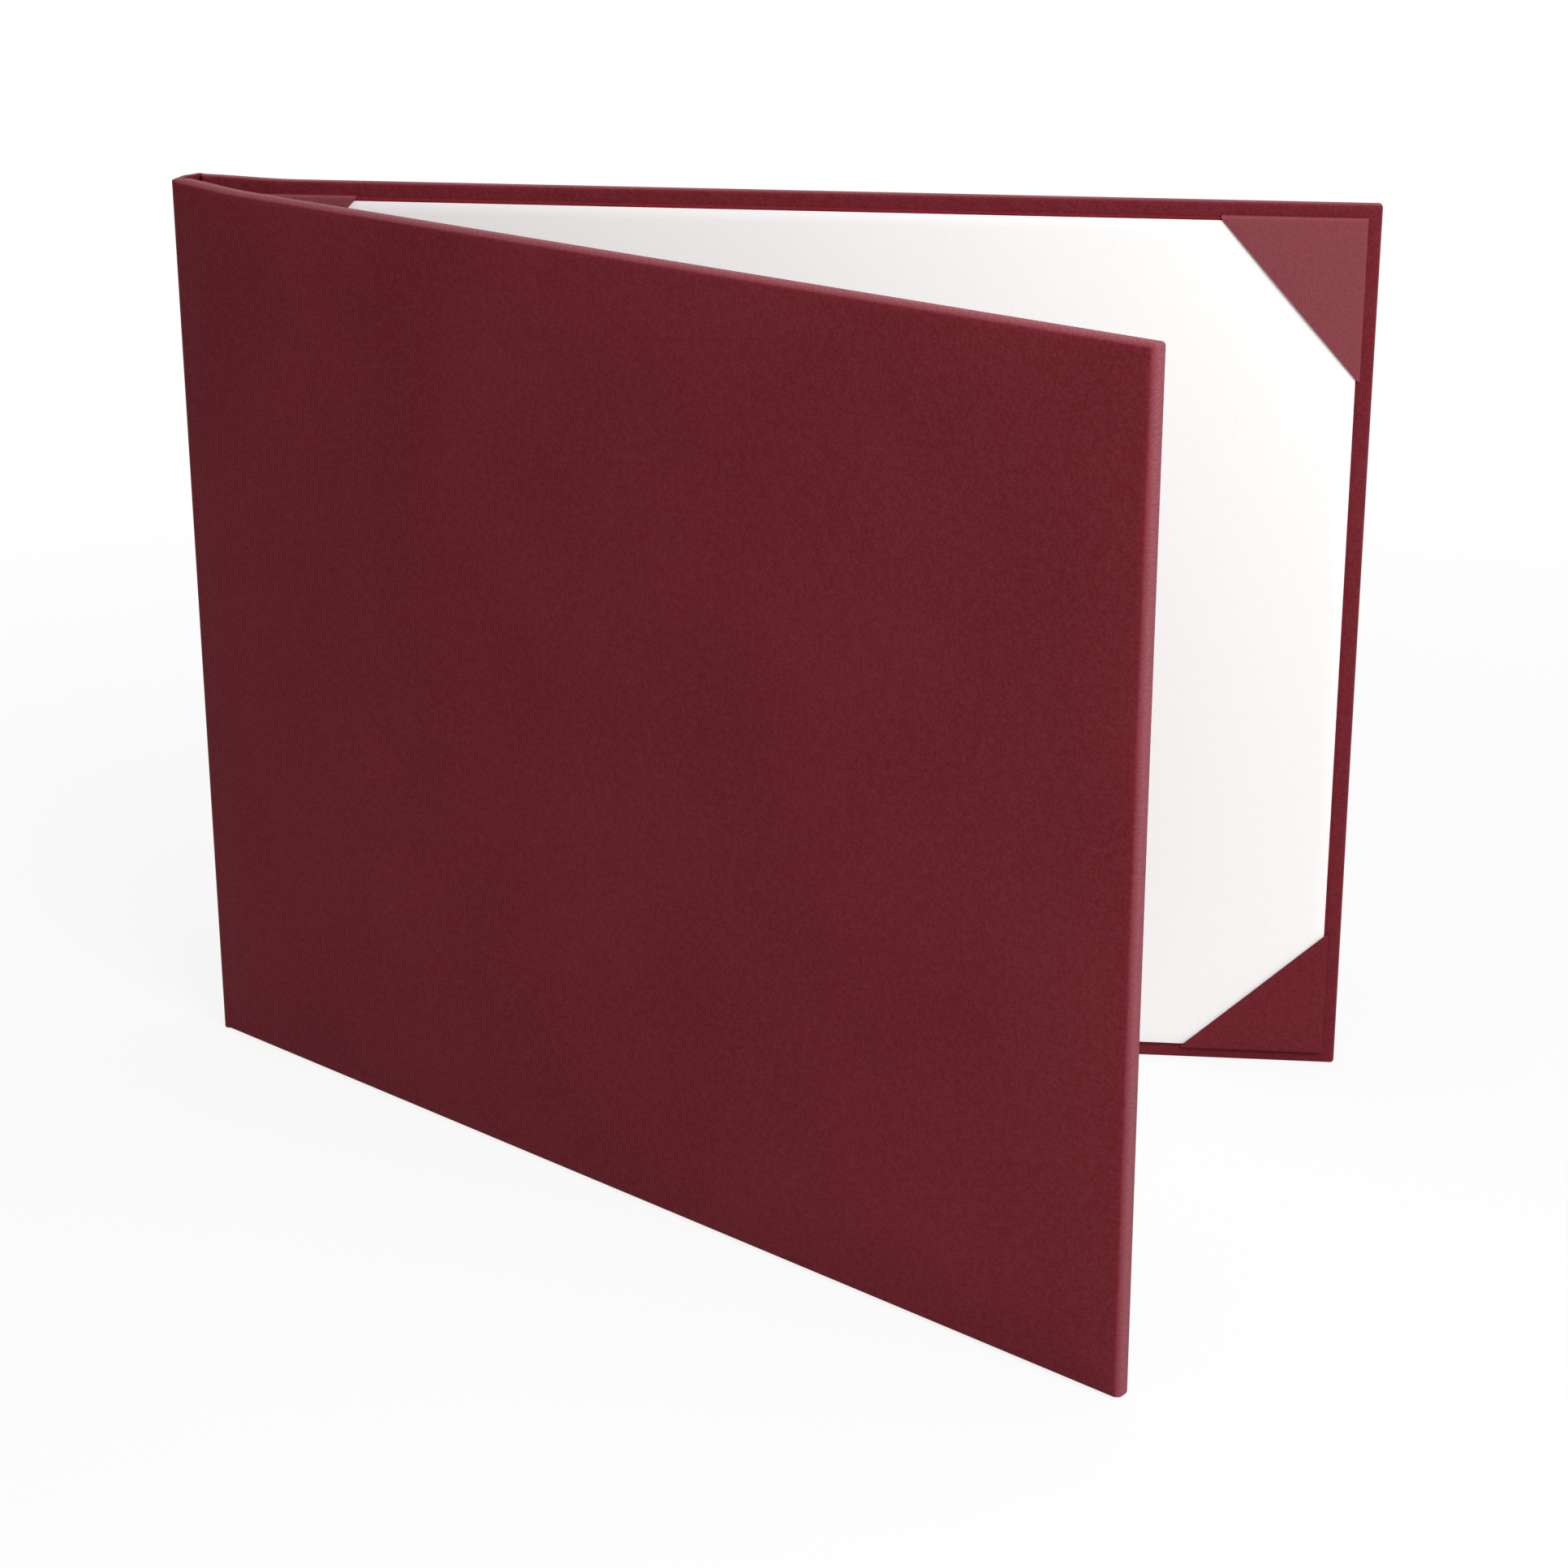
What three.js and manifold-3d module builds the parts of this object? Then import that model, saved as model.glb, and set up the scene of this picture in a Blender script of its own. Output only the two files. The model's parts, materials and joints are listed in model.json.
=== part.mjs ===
// A padded presentation cover for one landscape certificate, standing open on its bottom edges.
// Millimetres, +Z up. Each cover is built in cover space: x runs from the fold to the fore edge,
// z runs up, and y falls from 0 at the outer face to minus the depth inside.
import * as THREE from 'three';
import { mergeVertices } from 'three/addons/utils/BufferGeometryUtils.js';
import Module from 'manifold-3d';

// Certificate, a letter-size landscape sheet
const CERTIFICATE_WIDTH = 279.4;
const CERTIFICATE_HEIGHT = 215.9;
const CERTIFICATE_THICKNESS = 0.25;

// Covers
const COVERING = 0.5;            // leatherette
const PADDING = 1.4;             // foam under the outer face
const BOARD = 1.8;               // greyboard
const TURN_IN = 14;              // leatherette folded over onto the inner face
const EDGE_ROUNDING = 1.5;       // where the leatherette turns round a board's edge
const CORNER_RADIUS = 2.5;       // fore corners, seen from the front
const RIM = 3.7;                 // turn-in left in sight round the inner panel
const FOLD_MARGIN = 5.9;         // from the fold line to the inner panel

// Inner panels and corner pockets
const PANEL_CARD = 0.45;
const PANEL_LINING = 0.3;
const POCKET_SHEET = 0.45;
const POCKET_LEGS = {
  bottom_left: { along: 35, up: 32 },
  bottom_right: { along: 35.5, up: 31 },
  top_left: { along: 34.5, up: 37 },
  top_right: { along: 34, up: 38.5 },
};

// Fits
const GLUE_GAP = 0.05;           // between two glued layers
const PAPER_GAP = 0.1;           // above and below the certificate
const CERTIFICATE_PLAY = 0.3;    // between the certificate's edge and a pocket's wall
const CLOSING_GAP = 0.3;         // between the two inner faces when the cover is shut
const FOLD_GAP = 0.15;           // from a fold line to each side's leatherette

// Pose in which the cover stands
const OPENING_ANGLE = THREE.MathUtils.degToRad(34.6);

// Sizes that follow
const PANEL_MARGIN = CERTIFICATE_PLAY + POCKET_SHEET;
const PANEL_WIDTH = CERTIFICATE_WIDTH + 2 * PANEL_MARGIN;
const PANEL_HEIGHT = CERTIFICATE_HEIGHT + 2 * PANEL_MARGIN;
const COVER_WIDTH = FOLD_MARGIN + PANEL_WIDTH + RIM;
const COVER_HEIGHT = PANEL_HEIGHT + 2 * RIM;
const COVER_THICKNESS = 2 * COVERING + PADDING + BOARD + 3 * GLUE_GAP;
const PANEL_THICKNESS = PANEL_CARD + PANEL_LINING + GLUE_GAP;
const PANEL_BACK = COVER_THICKNESS + GLUE_GAP;
const PANEL_FACE = PANEL_BACK + PANEL_THICKNESS;
const CERTIFICATE_FACE = PANEL_FACE + PAPER_GAP + CERTIFICATE_THICKNESS;
const POCKET_FACE = CERTIFICATE_FACE + PAPER_GAP + POCKET_SHEET;
const SPINE_THICKNESS = 2 * COVERING + PADDING + 2 * GLUE_GAP;
const SPINE_WIDTH = PANEL_FACE + CLOSING_GAP + POCKET_FACE;
const SPINE_ROUNDING = Math.min(EDGE_ROUNDING, 0.45 * SPINE_THICKNESS);
const PAST = COVER_THICKNESS;    // how far a cutting shape runs past what it cuts

// Finishes, with the colours that the photo shows or that such materials have
const FINISH = {
  leatherette: { color: '#581b20', roughness: 0.5 },
  lining: { color: '#64262c', roughness: 0.55 },
  paper: { color: '#f6f6f4', roughness: 0.8 },
  foam: { color: '#d9d4c8', roughness: 0.95 },
  greyboard: { color: '#8d8478', roughness: 0.9 },
  card: { color: '#cfc6b4', roughness: 0.9 },
};

const wasm = await Module();
wasm.setup();

/** Turns a closed three.js geometry into a solid that can be cut and joined. */
function toSolid(geometry) {
  const bare = geometry.clone();
  bare.deleteAttribute('normal');
  bare.deleteAttribute('uv');
  const merged = mergeVertices(bare, 1e-4);
  return new wasm.Manifold(new wasm.Mesh({
    numProp: 3,
    vertProperties: new Float32Array(merged.attributes.position.array),
    triVerts: new Uint32Array(merged.index.array),
  }));
}

/** Turns a solid back into a three.js geometry. */
function toGeometry(solid) {
  const { vertProperties, triVerts } = solid.getMesh();
  const geometry = new THREE.BufferGeometry();
  geometry.setAttribute('position', new THREE.BufferAttribute(vertProperties, 3));
  geometry.setIndex(new THREE.BufferAttribute(triVerts, 1));
  geometry.computeVertexNormals();
  return geometry;
}

/** A rectangle from low to high with round corners at its right-hand end only. */
function foreRoundedOutline(low, high, radius) {
  const outline = new THREE.Shape();
  outline.moveTo(low.x, low.y);
  outline.lineTo(high.x - radius, low.y);
  outline.absarc(high.x - radius, low.y + radius, radius, -Math.PI / 2, 0, false);
  outline.absarc(high.x - radius, high.y - radius, radius, 0, Math.PI / 2, false);
  outline.lineTo(low.x, high.y);
  outline.closePath();
  return outline;
}

/** A closed outline through the given points. */
function polygon(points) {
  return new THREE.Shape(points.map(([x, y]) => new THREE.Vector2(x, y)));
}

/** A rectangle from low to high. */
function rectangle(low, high) {
  return polygon([[low.x, low.y], [high.x, low.y], [high.x, high.y], [low.x, high.y]]);
}

/** A flat sheet in cover space between two depths, with its long edges rounded. */
function sheet(outline, outerDepth, innerDepth, rounding = 0) {
  const geometry = new THREE.ExtrudeGeometry(outline, {
    depth: innerDepth - outerDepth - 2 * rounding,
    bevelEnabled: rounding > 0,
    bevelThickness: rounding,
    bevelSize: rounding,
    bevelOffset: -rounding,
    bevelSegments: 4,
    curveSegments: 5,
  });
  geometry.translate(0, 0, outerDepth + rounding);
  geometry.rotateX(Math.PI / 2);
  return toSolid(geometry);
}

/** A prism that runs the whole height, from [x, depth] points in plan. */
function uprightPrism(points) {
  const shape = polygon(points.map(([x, depth]) => [x, -depth]));
  const geometry = new THREE.ExtrudeGeometry(shape, {
    depth: COVER_HEIGHT + 2 * PAST,
    bevelEnabled: false,
  });
  geometry.translate(0, 0, -PAST);
  return toSolid(geometry);
}

/** What a cover may fill beside its fold: square to the spine when shut, so mitred with it. */
function coverReach(inset) {
  const start = FOLD_GAP + inset * Math.SQRT2;
  const end = COVER_WIDTH + PAST;
  return uprightPrism([
    [start - PAST, -PAST], [start + SPINE_THICKNESS, SPINE_THICKNESS],
    [start + SPINE_THICKNESS, COVER_THICKNESS + PAST], [end, COVER_THICKNESS + PAST],
    [end, -PAST],
  ]);
}

/** What the spine may fill between its two folds, mitred at both. */
function spineReach(inset) {
  const start = FOLD_GAP + inset * Math.SQRT2;
  const end = SPINE_WIDTH - start;
  return uprightPrism([
    [start, 0], [start + SPINE_THICKNESS, SPINE_THICKNESS],
    [end - SPINE_THICKNESS, SPINE_THICKNESS], [end, 0],
  ]);
}

/** One layer cut out of a core, between two depths. */
function layer(core, outerDepth, innerDepth) {
  const low = new THREE.Vector2(-PAST, -PAST);
  const high = new THREE.Vector2(COVER_WIDTH + PAST, COVER_HEIGHT + PAST);
  return core.intersect(sheet(rectangle(low, high), outerDepth, innerDepth));
}

/**
 * Leatherette wrapped round a core: an outer skin turned in over the inner face, with a window.
 * form(inset) gives the body at that distance inside its outer surface.
 */
function wrapped(form, thickness, window) {
  const opening = sheet(window, thickness - COVERING - GLUE_GAP, thickness + PAST);
  return form(0).subtract(form(COVERING)).subtract(opening);
}

/** A cover's body at a distance inside its outer surface. */
function coverForm(inset) {
  const low = new THREE.Vector2(-PAST, inset);
  const high = new THREE.Vector2(COVER_WIDTH - inset, COVER_HEIGHT - inset);
  const outline = foreRoundedOutline(low, high, CORNER_RADIUS - inset);
  const body = sheet(outline, inset, COVER_THICKNESS - inset, EDGE_ROUNDING - inset);
  return body.intersect(coverReach(inset));
}

/** The spine's body at a distance inside its outer surface. */
function spineForm(inset) {
  const low = new THREE.Vector2(-PAST, inset);
  const high = new THREE.Vector2(SPINE_WIDTH + PAST, COVER_HEIGHT - inset);
  const body = sheet(rectangle(low, high), inset, SPINE_THICKNESS - inset, SPINE_ROUNDING - inset);
  return body.intersect(spineReach(inset));
}

/** The gap in a cover's turn-ins, shrunk by an inset on all sides. */
function coverWindow(inset) {
  const low = new THREE.Vector2(SPINE_THICKNESS + TURN_IN + inset, TURN_IN + inset);
  const high = new THREE.Vector2(COVER_WIDTH - TURN_IN - inset, COVER_HEIGHT - TURN_IN - inset);
  return rectangle(low, high);
}

/** The gap in the spine's turn-ins at head and tail, shrunk by an inset on all sides. */
function spineWindow(inset) {
  const side = FOLD_GAP + SPINE_THICKNESS + COVERING * Math.SQRT2 + inset;
  const low = new THREE.Vector2(side, TURN_IN + inset);
  const high = new THREE.Vector2(SPINE_WIDTH - side, COVER_HEIGHT - TURN_IN - inset);
  return rectangle(low, high);
}

/** The inner panel's outline, shrunk by an inset on all sides. */
function panelOutline(inset) {
  const low = new THREE.Vector2(FOLD_MARGIN + inset, RIM + inset);
  const high = new THREE.Vector2(
    FOLD_MARGIN + PANEL_WIDTH - inset,
    RIM + PANEL_HEIGHT - inset,
  );
  return rectangle(low, high);
}

/** A named mesh with one of the finishes. */
function piece(name, solid, finish) {
  const mesh = new THREE.Mesh(toGeometry(solid), new THREE.MeshStandardMaterial(FINISH[finish]));
  mesh.name = name;
  return mesh;
}

/** The padded board of one cover, from the outer face to the sheet that levels its turn-ins. */
function cover(side) {
  const wrap = wrapped(coverForm, COVER_THICKNESS, coverWindow(0));
  const core = coverForm(COVERING + GLUE_GAP);
  const paddingFace = COVERING + GLUE_GAP;
  const boardFace = paddingFace + PADDING + GLUE_GAP;
  const boardBack = boardFace + BOARD;
  const infill = sheet(coverWindow(GLUE_GAP), boardBack + GLUE_GAP, COVER_THICKNESS);
  const group = new THREE.Group();
  group.add(
    piece(`${side}_wrap`, wrap, 'leatherette'),
    piece(`${side}_padding`, layer(core, paddingFace, boardFace - GLUE_GAP), 'foam'),
    piece(`${side}_board`, layer(core, boardFace, boardBack), 'greyboard'),
    piece(`${side}_infill`, infill, 'card'),
  );
  return group;
}

/** The raised panel inside a cover: a card with a lining over its face and its four edges. */
function innerPanel(side) {
  const cardFace = PANEL_BACK + PANEL_CARD;
  const card = sheet(panelOutline(PANEL_LINING + GLUE_GAP), PANEL_BACK, cardFace);
  const hollow = sheet(panelOutline(PANEL_LINING), PANEL_BACK - PAST, cardFace + GLUE_GAP);
  const lining = sheet(panelOutline(0), PANEL_BACK, PANEL_FACE).subtract(hollow);
  const group = new THREE.Group();
  group.add(
    piece(`${side}_panel_card`, card, 'card'),
    piece(`${side}_panel_lining`, lining, 'lining'),
  );
  return group;
}

/** A corner pocket: a triangle of leatherette closed along its two outer edges. */
function cornerPocket(corner) {
  const { along, up } = POCKET_LEGS[corner];
  const atRight = corner.endsWith('right');
  const atTop = corner.startsWith('top');
  const x = FOLD_MARGIN + (atRight ? PANEL_WIDTH : 0);
  const z = RIM + (atTop ? PANEL_HEIGHT : 0);
  const inX = atRight ? -1 : 1;
  const inZ = atTop ? -1 : 1;
  const legX = (along + PANEL_MARGIN) * inX;
  const legZ = (up + PANEL_MARGIN) * inZ;
  const triangle = polygon([[x, z], [x + legX, z], [x, z + legZ]]);
  const throat = rectangle(
    new THREE.Vector2(x + POCKET_SHEET * inX, z + POCKET_SHEET * inZ),
    new THREE.Vector2(x + 2 * legX, z + 2 * legZ),
  );
  const solid = sheet(triangle, PANEL_FACE + GLUE_GAP, POCKET_FACE)
    .subtract(sheet(throat, PANEL_FACE - PAST, CERTIFICATE_FACE + PAPER_GAP));
  return piece(`pocket_${corner}`, solid, 'leatherette');
}

/** The certificate, held by its corners on the inner panel. */
function certificate() {
  const outline = panelOutline(PANEL_MARGIN);
  const solid = sheet(outline, PANEL_FACE + PAPER_GAP, CERTIFICATE_FACE);
  return piece('certificate', solid, 'paper');
}

/** The padded strip between the two folds. */
function spine() {
  const wrap = wrapped(spineForm, SPINE_THICKNESS, spineWindow(0));
  const core = spineForm(COVERING + GLUE_GAP);
  const paddingFace = COVERING + GLUE_GAP;
  const lining = sheet(spineWindow(GLUE_GAP), SPINE_THICKNESS - COVERING, SPINE_THICKNESS);
  const group = new THREE.Group();
  group.add(
    piece('spine_wrap', wrap, 'leatherette'),
    piece('spine_padding', layer(core, paddingFace, paddingFace + PADDING), 'foam'),
    piece('spine_lining', lining, 'lining'),
  );
  return group;
}

/** The back cover with its panel, pockets and certificate, its fold line at the group's origin. */
function backCover() {
  const group = cover('back');
  group.add(innerPanel('back'), certificate());
  group.add(...Object.keys(POCKET_LEGS).map(cornerPocket));
  return group;
}

/** The front cover, turned over so that its inner face looks at the back cover. */
function frontCover() {
  const turnedOver = new THREE.Group();
  turnedOver.add(cover('front'), innerPanel('front'));
  turnedOver.rotation.x = Math.PI;
  turnedOver.position.z = COVER_HEIGHT;
  const group = new THREE.Group();
  group.add(turnedOver);
  return group;
}

/** The whole cover, open by the given angle, with the spine square to the angle's bisector. */
function standingCover(opening) {
  const half = opening / 2;
  const frontFold = new THREE.Vector3(-Math.sin(half), -Math.cos(half), 0)
    .multiplyScalar(SPINE_WIDTH);

  const spineStrip = spine();
  spineStrip.position.copy(frontFold);
  spineStrip.rotation.z = Math.PI / 2 - half;

  const front = frontCover();
  front.position.copy(frontFold);
  front.rotation.z = -opening;

  const group = new THREE.Group();
  group.add(backCover(), spineStrip, front);
  return group;
}

/** Moves a group so that the middle of its base is at the origin. */
function onBaseCentre(group) {
  group.updateMatrixWorld(true);
  const box = new THREE.Box3().setFromObject(group, true);
  const middle = box.getCenter(new THREE.Vector3());
  group.position.set(-middle.x, -middle.y, -box.min.z);
  return group;
}

const diplomaCover = onBaseCentre(standingCover(OPENING_ANGLE));

export default diplomaCover;
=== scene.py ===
"""Looks of a padded diploma cover that stands open with a certificate in its corner pockets.

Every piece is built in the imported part's own frame, in metres. A cover has a space of its own: s runs
from its fold to its fore edge, d runs in from its outer face, and z runs up.
"""

import json
import logging
import math
from dataclasses import dataclass, field
from enum import Enum

import bmesh
import bpy
import numpy as np
from mathutils import Euler, Matrix, Vector, noise


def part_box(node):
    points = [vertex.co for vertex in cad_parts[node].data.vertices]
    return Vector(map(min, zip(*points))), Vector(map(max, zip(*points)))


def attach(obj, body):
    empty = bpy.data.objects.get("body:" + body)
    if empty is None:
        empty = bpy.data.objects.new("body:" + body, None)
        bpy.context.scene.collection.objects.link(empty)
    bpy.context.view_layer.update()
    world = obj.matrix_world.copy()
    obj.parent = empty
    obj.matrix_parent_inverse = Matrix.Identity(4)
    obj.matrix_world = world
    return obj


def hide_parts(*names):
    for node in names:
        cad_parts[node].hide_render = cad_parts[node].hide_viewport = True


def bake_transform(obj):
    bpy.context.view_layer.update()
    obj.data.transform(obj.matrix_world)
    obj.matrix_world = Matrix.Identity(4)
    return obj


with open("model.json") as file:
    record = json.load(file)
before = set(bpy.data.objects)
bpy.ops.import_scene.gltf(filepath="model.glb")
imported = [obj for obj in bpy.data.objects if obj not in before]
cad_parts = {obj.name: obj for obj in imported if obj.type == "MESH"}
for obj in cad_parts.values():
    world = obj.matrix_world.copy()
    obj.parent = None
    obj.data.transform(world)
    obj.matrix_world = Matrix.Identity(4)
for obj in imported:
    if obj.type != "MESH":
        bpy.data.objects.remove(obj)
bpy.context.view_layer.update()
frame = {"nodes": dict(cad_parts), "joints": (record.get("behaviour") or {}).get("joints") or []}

Socket = bpy.types.NodeSocket
Material = bpy.types.Material
Piece = bpy.types.Object

MM = 0.001
SHARP_ANGLE = math.radians(38)
NEAR_FOLD = 8 * MM
SPINE_STEP = 0.7 * MM
LOG = logging.getLogger("diploma_cover")


class Side(Enum):
    """The two covers, by the start of their nodes' names."""

    BACK = "back"
    FRONT = "front"


class Corner(Enum):
    """The four corners of a panel, by the end of their pockets' names."""

    BOTTOM_LEFT = "bottom_left"
    BOTTOM_RIGHT = "bottom_right"
    TOP_LEFT = "top_left"
    TOP_RIGHT = "top_right"

    @property
    def at_top(self) -> bool:
        """Whether the corner is one of the upper two."""
        return self.value.startswith("top")

    @property
    def at_right(self) -> bool:
        """Whether the corner is on the fore-edge side."""
        return self.value.endswith("right")


@dataclass(frozen=True)
class Layout:
    """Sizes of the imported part, in metres, read from its nodes and joints."""

    back_fold: Vector
    front_fold: Vector
    width: float
    height: float
    thickness: float
    panel_start: float
    panel_width: float
    panel_rim: float
    panel_back: float
    panel_face: float
    pocket_face: float
    certificate_face: float

    @classmethod
    def from_frame(cls) -> "Layout":
        """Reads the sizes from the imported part.

        Returns:
            The layout of the part at rest.
        """
        folds = {j["name"]: Vector((j["pos_m"][0], j["pos_m"][1], 0)) for j in frame["joints"]}
        back = folds["back_fold"]
        wrap_low, wrap_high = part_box("back_wrap")
        panel_low, panel_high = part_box("back_panel_lining")
        return cls(
            back_fold=back,
            front_fold=folds["front_fold"],
            width=wrap_high.x - back.x,
            height=wrap_high.z,
            thickness=back.y - wrap_low.y,
            panel_start=panel_low.x - back.x,
            panel_width=panel_high.x - panel_low.x,
            panel_rim=panel_low.z,
            panel_back=back.y - panel_high.y,
            panel_face=back.y - panel_low.y,
            pocket_face=back.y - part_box("pocket_top_right")[0].y,
            certificate_face=back.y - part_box("certificate")[0].y,
        )

    @property
    def spine_width(self) -> float:
        """Distance between the two fold lines."""
        return (self.front_fold - self.back_fold).length

    @property
    def half_opening(self) -> float:
        """Half the angle between the covers, in radians."""
        across = self.front_fold - self.back_fold
        return math.atan2(-across.x, -across.y)


@dataclass(frozen=True)
class CoverSpace:
    """Turns a cover's own s, d and z into the part's frame."""

    side: Side
    layout: Layout

    @property
    def matrix(self) -> Matrix:
        """The matrix from cover space to the part's frame. The front cover's mirrors."""
        if self.side is Side.BACK:
            origin, turn, inward = self.layout.back_fold, 0.0, -1.0
        else:
            origin, turn, inward = self.layout.front_fold, -2 * self.layout.half_opening, 1.0
        flip = Matrix.Diagonal((1.0, inward, 1.0, 1.0))
        return Matrix.Translation(origin) @ Matrix.Rotation(turn, 4, "Z") @ flip

    def point(self, s: float, d: float, z: float) -> Vector:
        """A point of cover space in the part's frame.

        Args:
            s: Distance from the fold, in metres.
            d: Depth inside the outer face, in metres.
            z: Height, in metres.

        Returns:
            The point in the part's frame.
        """
        return self.matrix @ Vector((s, d, z))


def smooth(value: float, low: float, high: float) -> float:
    """An eased step.

    Args:
        value: Where to read the step.
        low: Where it leaves 0.
        high: Where it reaches 1.

    Returns:
        A number from 0 to 1.
    """
    t = min(max((value - low) / (high - low), 0.0), 1.0)
    return t * t * (3 - 2 * t)


def spread(start: float, end: float, step: float) -> list[float]:
    """Even stations between two values.

    Args:
        start: First station.
        end: Last station.
        step: Largest distance between two stations.

    Returns:
        The stations, both ends included.
    """
    count = max(1, math.ceil(abs(end - start) / step))
    return [start + (end - start) * i / count for i in range(count + 1)]


def linear(hex_colour: str) -> tuple[float, float, float, float]:
    """A screen colour as Blender's scene colour.

    Args:
        hex_colour: Six hex digits, such as "581b20".

    Returns:
        Red, green, blue and alpha, linear.
    """
    parts = [int(hex_colour[i : i + 2], 16) / 255 for i in (0, 2, 4)]
    return (*(c / 12.92 if c <= 0.04045 else ((c + 0.055) / 1.055) ** 2.4 for c in parts), 1.0)


def add_piece(name: str, mesh: bpy.types.Mesh, material: Material) -> Piece:
    """Links a mesh as a piece at the origin, smooth shaded.

    Args:
        name: The piece's name.
        mesh: Its mesh, in the part's frame.
        material: Its finish.

    Returns:
        The new object.
    """
    mesh.name = name
    piece = bpy.data.objects.new(name, mesh)
    bpy.context.scene.collection.objects.link(piece)
    mesh.materials.clear()
    mesh.materials.append(material)
    mesh.shade_smooth()
    return piece


def baked(piece: Piece) -> Piece:
    """Turns a piece's modifiers into its mesh.

    Args:
        piece: The piece, with live modifiers.

    Returns:
        The same piece with a plain mesh and no modifier.
    """
    graph = bpy.context.evaluated_depsgraph_get()
    mesh = bpy.data.meshes.new_from_object(piece.evaluated_get(graph), depsgraph=graph)
    piece.modifiers.clear()
    piece.data = mesh
    mesh.name = piece.name
    return piece


def thickened(piece: Piece, thickness: float) -> Piece:
    """Gives a sheet its thickness behind its outer face.

    Args:
        piece: A piece whose faces point outwards.
        thickness: In metres.

    Returns:
        The same piece, closed.
    """
    solidify = piece.modifiers.new("thickness", "SOLIDIFY")
    solidify.thickness = thickness
    solidify.offset = -1
    baked(piece)
    piece.data.set_sharp_from_angle(angle=SHARP_ANGLE)
    return piece


class NodeCanvas:
    """A small hand for placing and joining nodes in one tree."""

    def __init__(self, tree: bpy.types.NodeTree) -> None:
        """Keeps the tree and clears it."""
        self.tree = tree
        tree.nodes.clear()

    def add(self, kind: str, values: dict | None = None, **settings: object) -> bpy.types.Node:
        """Adds a node.

        Args:
            kind: The node's type.
            values: Input name or number to a value or to a socket that feeds it.
            **settings: The node's own properties.

        Returns:
            The new node.
        """
        node = self.tree.nodes.new(kind)
        for name, value in settings.items():
            setattr(node, name, value)
        for key, value in (values or {}).items():
            if isinstance(value, Socket):
                self.tree.links.new(value, node.inputs[key])
            else:
                node.inputs[key].default_value = value
        return node

    def math(self, operation: str, *values: object) -> Socket:
        """Adds a sum on up to three numbers or sockets.

        Args:
            operation: The math node's operation.
            *values: Numbers or sockets.

        Returns:
            The result's socket.
        """
        kind = "ShaderNodeMath"
        return self.add(kind, dict(enumerate(values)), operation=operation).outputs[0]

    def ramp(self, value: object, low: object, high: object) -> Socket:
        """Adds a clamped map of a value from a range to 0 to 1.

        Args:
            value: Number or socket to map.
            low: Where the result is 0.
            high: Where the result is 1.

        Returns:
            The result's socket.
        """
        return self.add("ShaderNodeMapRange", {"Value": value, 1: low, 2: high}).outputs[0]

    def blend(self, share: object, first: object, second: object) -> Socket:
        """Adds a mix of two colours.

        Args:
            share: How much of the second colour shows.
            first: Colour or socket at share 0.
            second: Colour or socket at share 1.

        Returns:
            The mixed colour's socket.
        """
        values = {0: share, 6: first, 7: second}
        return self.add("ShaderNodeMix", values, data_type="RGBA").outputs[2]

    def seen(self) -> Socket:
        """Adds a mask of the rays that show a thing, as against those that light by it.

        Returns:
            A socket that is 1 for camera, glossy and transmission rays.
        """
        path = self.add("ShaderNodeLightPath").outputs
        seen = self.math("MAXIMUM", path["Is Camera Ray"], path["Is Glossy Ray"])
        return self.math("MAXIMUM", seen, path["Is Transmission Ray"])

    def surface(
        self,
        colour: Socket,
        roughness: object,
        specular: float,
        bump: tuple[float, float, Socket],
    ) -> None:
        """Adds the shader, its bump and the material's output.

        Args:
            colour: The base colour.
            roughness: Number or socket.
            specular: The specular level.
            bump: Its strength, its distance in metres and its height.
        """
        strength, distance, height = bump
        normal = self.add(
            "ShaderNodeBump", {"Strength": strength, "Distance": distance, "Height": height}
        ).outputs[0]
        values = {
            "Base Color": colour,
            "Roughness": roughness,
            "Normal": normal,
            "Specular IOR Level": specular,
        }
        shader = self.add("ShaderNodeBsdfPrincipled", values)
        self.add("ShaderNodeOutputMaterial", {"Surface": shader.outputs[0]})


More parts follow.
